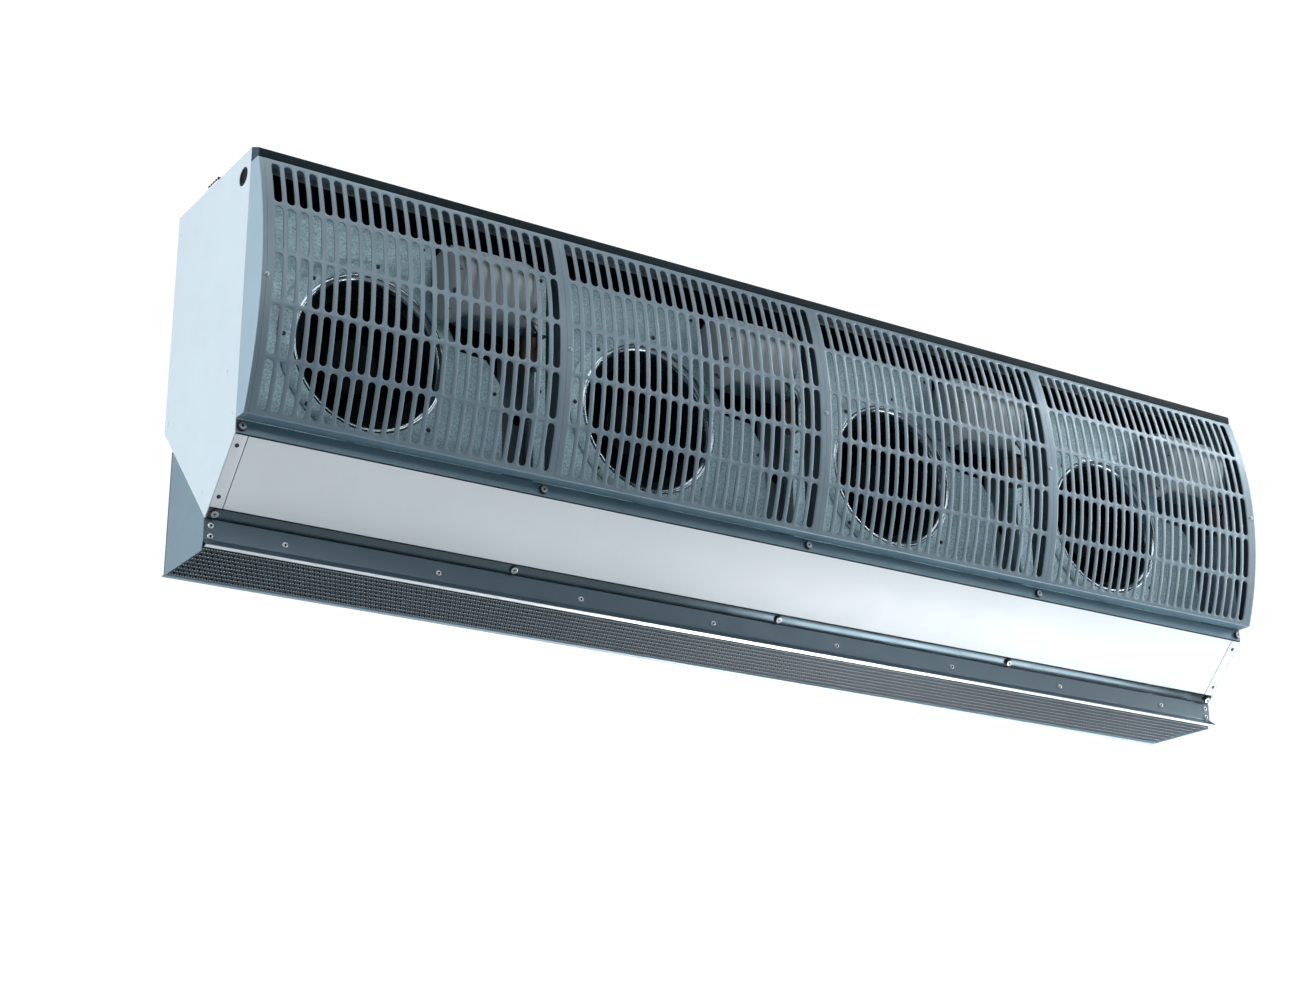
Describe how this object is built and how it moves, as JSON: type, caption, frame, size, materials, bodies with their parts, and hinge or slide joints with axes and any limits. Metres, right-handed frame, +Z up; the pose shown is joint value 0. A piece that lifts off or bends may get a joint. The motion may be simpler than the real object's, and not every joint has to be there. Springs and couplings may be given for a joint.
{
  "type": "air curtain",
  "caption": "Long wall- or ceiling-hung air curtain: bowed slotted intake grille over fan units in a sheet-metal casing with a downward discharge nozzle.",
  "frame": {"origin": "centre of the back panel's flat outer face, the face that lies on the wall", "axes": "+X along the length, to the right seen from the room; +Y out of the back panel, into the wall; +Z up, the nozzle blows along -Z"},
  "size_m": [2, 0.3348, 0.608],
  "materials": {
    "side_panel": "pale blue-white powder coat",
    "casing": "grey powder coat",
    "grille": "blue-grey powder coat",
    "top_rail": "dark painted rail",
    "lower_trim": "grey powder coat",
    "access_panel": "pale grey powder coat",
    "nozzle": "grey powder coat",
    "galvanised": "spangled galvanised sheet",
    "steel": "bright zinc",
    "wheel": "dark moulded wheel",
    "can": "light grey paint",
    "capacitor": "brown plastic",
    "rubber": "black rubber",
    "grid": "thin aluminium sheet"
  },
  "bodies": {
    "casing": {"access_panel": "access_panel", "back_panel": "casing", "bracket_1": "galvanised", "bracket_2": "galvanised", "bracket_3": "galvanised", "bracket_4": "galvanised", "cable_grommet": "rubber", "can_1": "can", "can_2": "can", "can_3": "can", "can_4": "can", "capacitor_1": "capacitor", "capacitor_2": "capacitor", "capacitor_3": "capacitor", "capacitor_4": "capacitor", "end_cap_left": "grille", "end_cap_right": "grille", "end_strip_left": "access_panel", "end_strip_right": "access_panel", "fan_deck": "galvanised", "fan_motor_1": "steel", "fan_motor_2": "steel", "fan_motor_3": "steel", "fan_motor_4": "steel", "fan_plate_1": "galvanised", "fan_plate_2": "galvanised", "fan_plate_3": "galvanised", "fan_plate_4": "galvanised", "grille_1": "grille", "grille_2": "grille", "grille_3": "grille", "grille_4": "grille", "hanger_left": "rubber", "hanger_right": "rubber", "inlet_ring_1": "steel", "inlet_ring_2": "steel", "inlet_ring_3": "steel", "inlet_ring_4": "steel", "ledge_bolts": "steel", "ledge_strip": "lower_trim", "lower_rail": "lower_trim", "nozzle_back": "nozzle", "nozzle_end_left": "nozzle", "nozzle_end_right": "nozzle", "nozzle_front": "nozzle", "outlet_grid": "grid", "rail_bolts": "steel", "rib_frame": "galvanised", "scroll_1": "galvanised", "scroll_2": "galvanised", "scroll_3": "galvanised", "scroll_4": "galvanised", "side_panel_left": "side_panel", "side_panel_right": "side_panel", "top_panel": "casing", "top_rail": "top_rail"},
    "rotor_1": {"impeller_1": "wheel"},
    "rotor_2": {"impeller_2": "wheel"},
    "rotor_3": {"impeller_3": "wheel"},
    "rotor_4": {"impeller_4": "wheel"}
  },
  "joints": [
    {"name": "impeller_1_spin", "type": "hinge", "parent": "casing", "child": "rotor_1", "pos_m": [-0.7834, -0.17, -0.087], "axis": [0, 1, 0], "continuous": true},
    {"name": "impeller_2_spin", "type": "hinge", "parent": "casing", "child": "rotor_2", "pos_m": [-0.28765, -0.17, -0.087], "axis": [0, 1, 0], "continuous": true},
    {"name": "impeller_3_spin", "type": "hinge", "parent": "casing", "child": "rotor_3", "pos_m": [0.2081, -0.17, -0.087], "axis": [0, 1, 0], "continuous": true},
    {"name": "impeller_4_spin", "type": "hinge", "parent": "casing", "child": "rotor_4", "pos_m": [0.70385, -0.17, -0.087], "axis": [0, 1, 0], "continuous": true}
  ]
}
